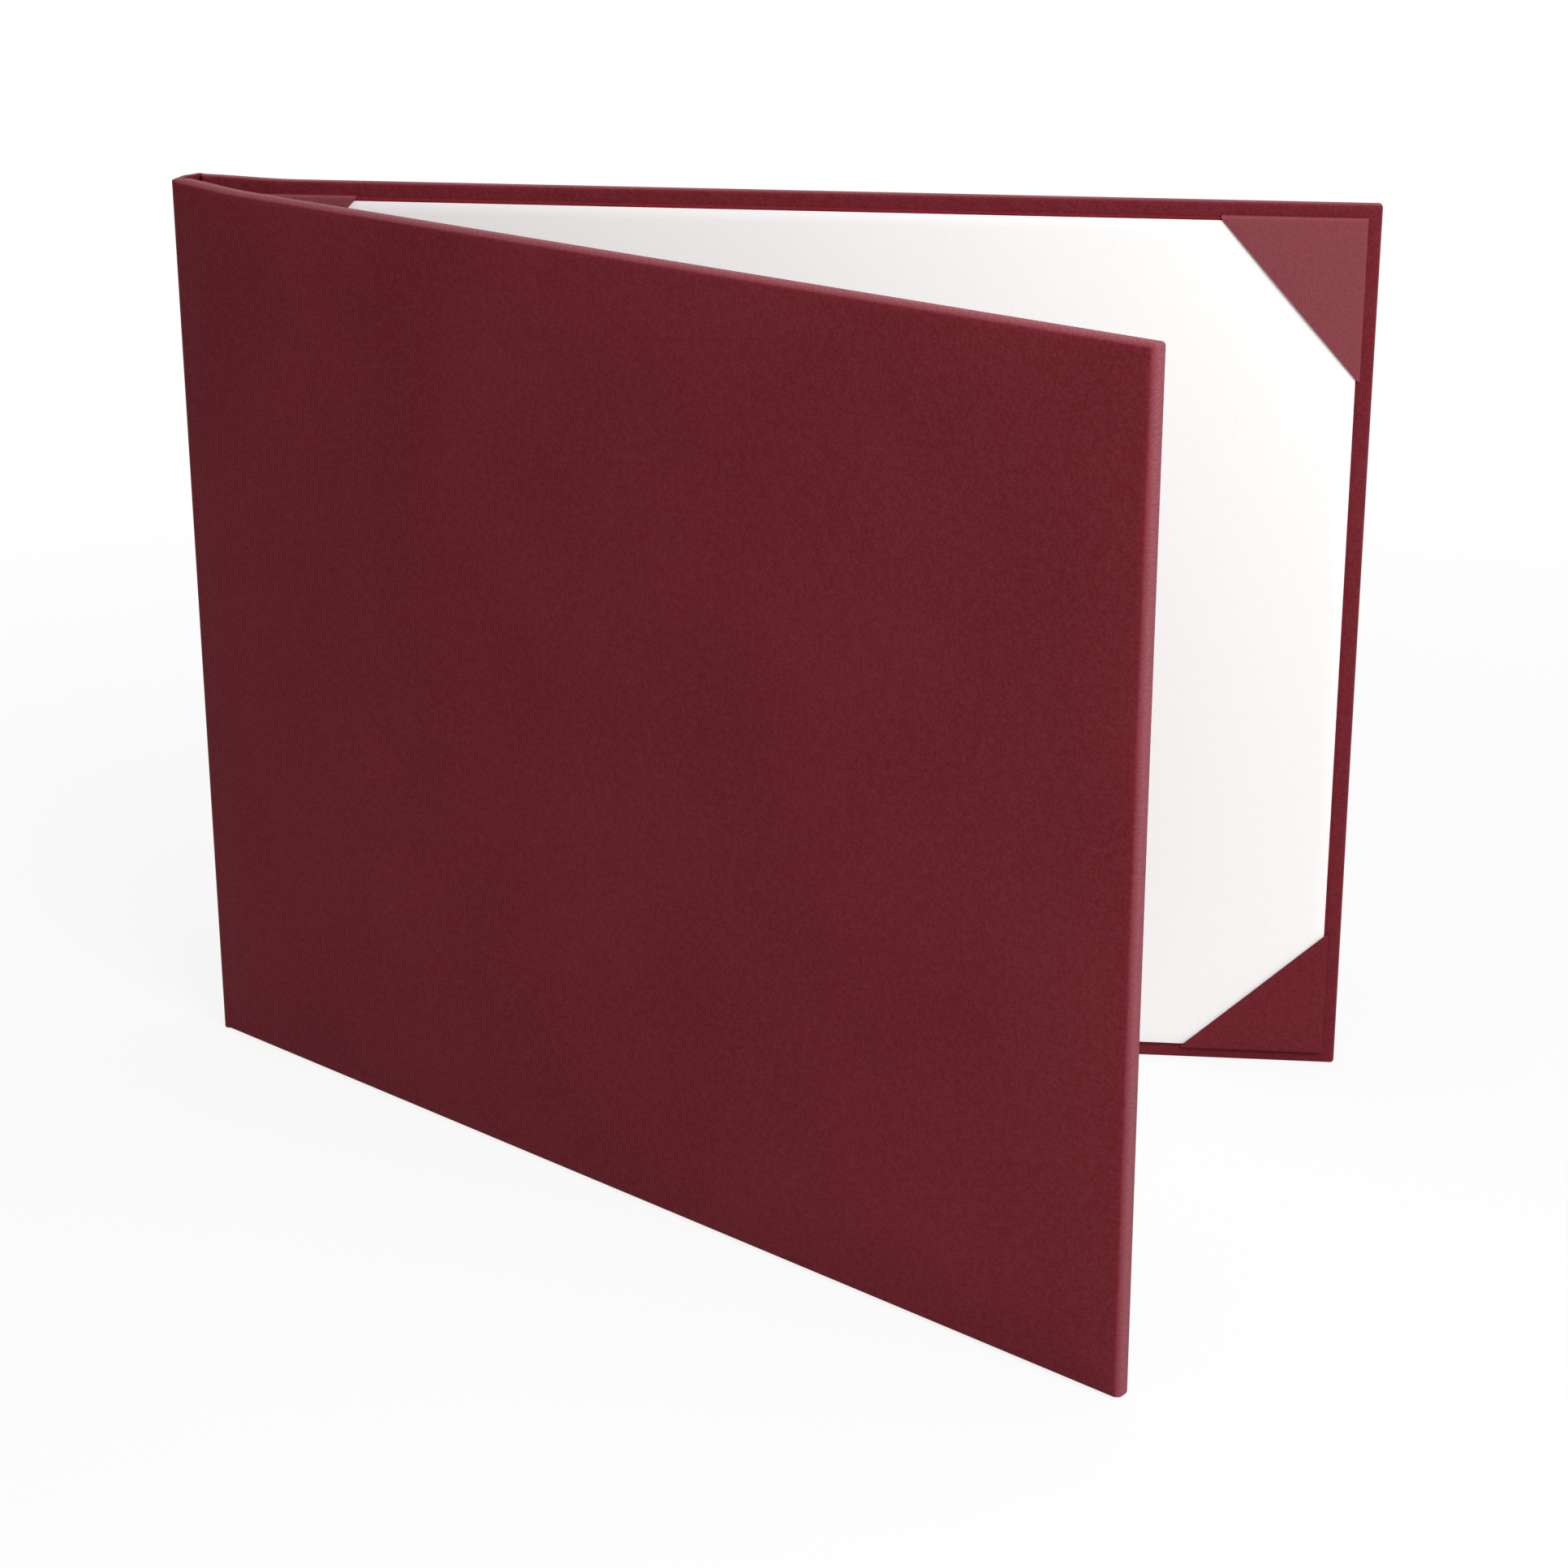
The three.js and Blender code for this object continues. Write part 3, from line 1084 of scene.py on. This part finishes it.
    def lay(
        self,
        name: str,
        sizes: dict[str, float],
        cells: tuple[int, int],
        finish: Material,
        matrix: Matrix,
    ) -> Piece:
        """Makes one sheet from the tree and puts it in its place.

        Args:
            name: The piece's name.
            sizes: A value for each of the tree's sizes.
            cells: How many cells it has across, and how many of them each rolled edge takes.
            finish: Its material.
            matrix: From the sheet's x, rise and z to the part's frame.

        Returns:
            The piece, as an open sheet with a plain mesh.
        """
        piece = add_piece(name, bpy.data.meshes.new(name), finish)
        modifier = piece.modifiers.new("sheet", "NODES")
        modifier.node_group = self.tree
        values = {**sizes, "Cells": cells[0], "Roll cells": cells[1], "Finish": finish}
        for item in self.tree.interface.items_tree:
            if item.in_out == "INPUT":
                modifier[item.identifier] = values[item.name]
        baked(piece)
        piece.data.transform(matrix)
        if matrix.determinant() > 0:
            piece.data.flip_normals()
        piece.data.shade_smooth()
        return piece


@dataclass
class InnerPanel:
    """The raised panel inside a cover."""

    space: CoverSpace
    sheets: LaidSheet
    finish: Material
    roll: float = 0.55 * MM
    lining: float = 0.28 * MM

    def build(self) -> Piece:
        """Makes the panel's lining and dresses it.

        Returns:
            The finished piece, riding on its cover.
        """
        layout, side = self.space.layout, self.space.side.value
        corner = Vector((layout.panel_start + self.roll, layout.panel_face, 0))
        corner.z = layout.panel_rim + self.roll
        sizes = {
            **LaidSheet.FLAT,
            "Along": layout.panel_width - 2 * self.roll,
            "Up": layout.height - 2 * corner.z,
            "Roll": self.roll,
            "Drop": layout.panel_face - layout.panel_back - self.roll,
        }
        matrix = self.space.matrix @ Matrix.Translation(corner)
        piece = self.sheets.lay(f"{side}_panel", sizes, (110, 7), self.finish, matrix)
        thickened(piece, self.lining)
        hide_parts(f"{side}_panel_lining")
        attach(piece, f"{side}_cover")
        return piece


@dataclass
class Pocket:
    """One triangular corner pocket, rolled over the panel's edges."""

    space: CoverSpace
    sheets: LaidSheet
    finish: Material
    corner: Corner
    roll: float = 0.6 * MM
    sheet: float = 0.4 * MM
    wrap: float = 0.35 * MM
    clearance: float = 0.05 * MM

    @property
    def taller(self) -> float:
        """How much further the cut runs up the edge than the solid's does."""
        return 1.2 * MM if self.corner is Corner.BOTTOM_RIGHT else 0.0

    @property
    def puff(self) -> float:
        """How far the pocket swells. The upper two stand looser than the lower two."""
        return 0.24 * MM if self.corner.at_top else 0.1 * MM

    @property
    def painted_highlight(self) -> float:
        """How strongly the pocket's leatherette is paled by a painted highlight; the upper two, which
        catch more light, get far more.
        """
        return 1.05 if self.corner.at_top else 0.1

    def build(self) -> Piece:
        """Makes the pocket and dresses it.

        Returns:
            The finished piece, riding on the back cover.
        """
        layout, node = self.space.layout, f"pocket_{self.corner.value}"
        low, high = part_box(node)
        along_sign = -1.0 if self.corner.at_right else 1.0
        up_sign = -1.0 if self.corner.at_top else 1.0
        edge_s = (high.x if self.corner.at_right else low.x) - layout.back_fold.x
        edge_z = high.z if self.corner.at_top else low.z
        start_s = edge_s + (self.roll - self.wrap) * along_sign
        start_z = edge_z + (self.roll - self.wrap) * up_sign
        sizes = {
            "Along": high.x - low.x - self.roll + self.wrap,
            "Up": high.z - low.z - self.roll + self.wrap + self.taller,
            "Taper": 1.0,
            "Roll": self.roll,
            "Drop": layout.pocket_face - layout.thickness - self.roll - self.clearance,
            "Puff": self.puff,
            "Painted highlight": self.painted_highlight,
        }
        corner = Vector((start_s, layout.pocket_face, start_z))
        mirror = Matrix.Diagonal((along_sign, 1.0, up_sign, 1.0))
        matrix = self.space.matrix @ Matrix.Translation(corner) @ mirror
        piece = self.sheets.lay(f"{node}_leather", sizes, (44, 8), self.finish, matrix)
        thickened(piece, self.sheet)
        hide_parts(node)
        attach(piece, "back_cover")
        return piece


@dataclass
class CertificateSheet:
    """The blank certificate."""

    space: CoverSpace
    sheets: LaidSheet
    finish: Material
    ease: float = 0.02 * MM

    def build(self) -> Piece:
        """Makes the certificate and dresses it.

        Returns:
            The finished piece, riding on the back cover.
        """
        layout = self.space.layout
        low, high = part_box("certificate")
        thickness = high.y - low.y
        corner = Vector((low.x - layout.back_fold.x, layout.certificate_face, low.z))
        corner += Vector((self.ease, 0, self.ease))
        sizes = {
            **LaidSheet.FLAT,
            "Along": high.x - low.x - 2 * self.ease,
            "Up": high.z - low.z - 2 * self.ease,
            "Roll": self.ease,
            "Drop": 0.0,
        }
        matrix = self.space.matrix @ Matrix.Translation(corner)
        piece = self.sheets.lay("certificate_sheet", sizes, (80, 2), self.finish, matrix)
        thickened(piece, thickness - 2 * self.ease)
        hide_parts("certificate")
        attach(piece, "back_cover")
        return piece


@dataclass
class HiddenLayers:
    """The pieces inside the covers, which keep their CAD shapes and get their finishes."""

    finishes: Finishes

    def dress(self) -> None:
        """Gives each inner node its finish."""
        kinds = {
            "padding": self.finishes.foam,
            "board": self.finishes.greyboard,
            "infill": self.finishes.card,
            "panel_card": self.finishes.card,
        }
        for name, node in frame["nodes"].items():
            for ending, finish in kinds.items():
                if name.endswith(ending):
                    node.data.materials.clear()
                    node.data.materials.append(finish)


@dataclass
class Studio:
    """Floor, backdrop, lamps and camera."""

    layout: Layout
    camera_offset: tuple[float, float, float] = (0.2308, -0.7389, 0.3406)
    camera_turn_deg: tuple[float, float, float] = (72.187, -0.5528, 4.4745)
    lens_mm: float = 70.016
    centre_px: tuple[float, float] = (1108.0, 826.0)
    image_px: float = 1932.0
    sensor_mm: float = 36
    floor_size: float = 30
    floor_tone: float = 0.82
    floor_seen: float = 0.86
    shadow_reach: tuple[float, float] = (0.2, 0.7)
    surround_light: float = 0.28

    LAMPS = (
        ("key_right", (0.36, -0.5, 0.6), 0.4, 4.2),
        ("front_soft", (0.3, -0.55, 0.6), 0.4, 1.2),
        ("top_soft", (0.05, 0.0, 1.1), 0.7, 4),
    )

    def camera(self) -> None:
        """Places the camera at the photograph's point of view."""
        data = bpy.data.cameras.new("camera")
        data.sensor_width = self.sensor_mm
        data.lens = self.lens_mm
        data.shift_x = (self.image_px / 2 - self.centre_px[0]) / self.image_px
        data.shift_y = (self.centre_px[1] - self.image_px / 2) / self.image_px
        data.clip_start, data.clip_end = 0.01, 50
        camera = bpy.data.objects.new("camera", data)
        camera.location = self.layout.back_fold + Vector(self.camera_offset)
        camera.rotation_euler = Euler([math.radians(a) for a in self.camera_turn_deg], "XYZ")
        bpy.context.scene.collection.objects.link(camera)
        bpy.context.scene.camera = camera

    def lamp(
        self, name: str, at: tuple[float, float, float], size: float, power: float
    ) -> None:
        """Hangs a square soft lamp that points at the cover.

        Args:
            name: The lamp's name.
            at: Its place, in metres.
            size: Its side, in metres.
            power: In watts.
        """
        data = bpy.data.lights.new(name, "AREA")
        data.shape, data.size, data.energy = "SQUARE", size, power
        lamp = bpy.data.objects.new(name, data)
        lamp.location = at
        aim = Vector((0, 0, self.layout.height / 2)) - lamp.location
        lamp.rotation_euler = aim.to_track_quat("-Z", "Y").to_euler()
        bpy.context.scene.collection.objects.link(lamp)

    def floor_material(self) -> Material:
        """A white floor that the camera sees nearly white, with the object's shadow kept.

        Returns:
            The material.
        """
        material = bpy.data.materials.new("white_floor")
        material.use_nodes = True
        canvas = NodeCanvas(material.node_tree)
        tone = (self.floor_tone, self.floor_tone, self.floor_tone, 1)
        matte = canvas.add("ShaderNodeBsdfDiffuse", {"Color": tone}).outputs[0]
        glow = canvas.add("ShaderNodeEmission", {"Color": (1, 1, 1, 1), "Strength": 1.0}).outputs[0]
        place = canvas.add("ShaderNodeTexCoord").outputs["Object"]
        away = canvas.add("ShaderNodeVectorMath", {0: place}, operation="LENGTH").outputs["Value"]
        far = canvas.ramp(away, *self.shadow_reach)
        white = canvas.math("MULTIPLY_ADD", far, 1 - self.floor_seen, self.floor_seen)
        share = canvas.math("MULTIPLY", canvas.seen(), white)
        mixed = canvas.add("ShaderNodeMixShader", {0: share, 1: matte, 2: glow}).outputs[0]
        canvas.add("ShaderNodeOutputMaterial", {"Surface": mixed})
        return material

    def floor(self) -> None:
        """Lays the floor."""
        bpy.ops.mesh.primitive_plane_add(size=self.floor_size, location=(0, 0, 0))
        floor = bpy.context.object
        floor.name = "floor"
        floor.data.materials.append(self.floor_material())

    def world(self) -> None:
        """Sets a plain pale surround."""
        world = bpy.data.worlds.new("surround")
        bpy.context.scene.world = world
        world.use_nodes = True
        canvas = NodeCanvas(world.node_tree)
        rest = 1 - self.surround_light
        strength = canvas.math("MULTIPLY_ADD", canvas.seen(), rest, self.surround_light)
        light = canvas.add(
            "ShaderNodeBackground", {"Color": (1, 1, 1, 1), "Strength": strength}
        ).outputs[0]
        canvas.add("ShaderNodeOutputWorld", {"Surface": light})

    def build(self) -> None:
        """Sets up everything round the object."""
        self.camera()
        self.floor()
        self.world()
        for name, at, size, power in self.LAMPS:
            self.lamp(name, at, size, power)
        bpy.context.scene.view_settings.view_transform = "Standard"


def main() -> None:
    """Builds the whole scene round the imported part."""
    logging.basicConfig(level=logging.INFO, format="%(name)s: %(message)s")
    layout = Layout.from_frame()
    Studio(layout).build()
    finishes = Finishes.build()
    sheets = LaidSheet()
    back, front = CoverSpace(Side.BACK, layout), CoverSpace(Side.FRONT, layout)
    made = []
    for space in (back, front):
        covering = Covering(space, finishes.leatherette)
        made.append(covering.build())
        made.append(HingeLining(covering, finishes.lining).build())
        made.append(InnerPanel(space, sheets, finishes.lining).build())
    for corner in Corner:
        made.append(Pocket(back, sheets, finishes.stretched, corner).build())
    made.append(CertificateSheet(back, sheets, finishes.paper).build())
    HiddenLayers(finishes).dress()
    for piece in made:
        LOG.info("%s: %d faces", piece.name, len(piece.data.polygons))


if __name__ == "__main__":
    main()
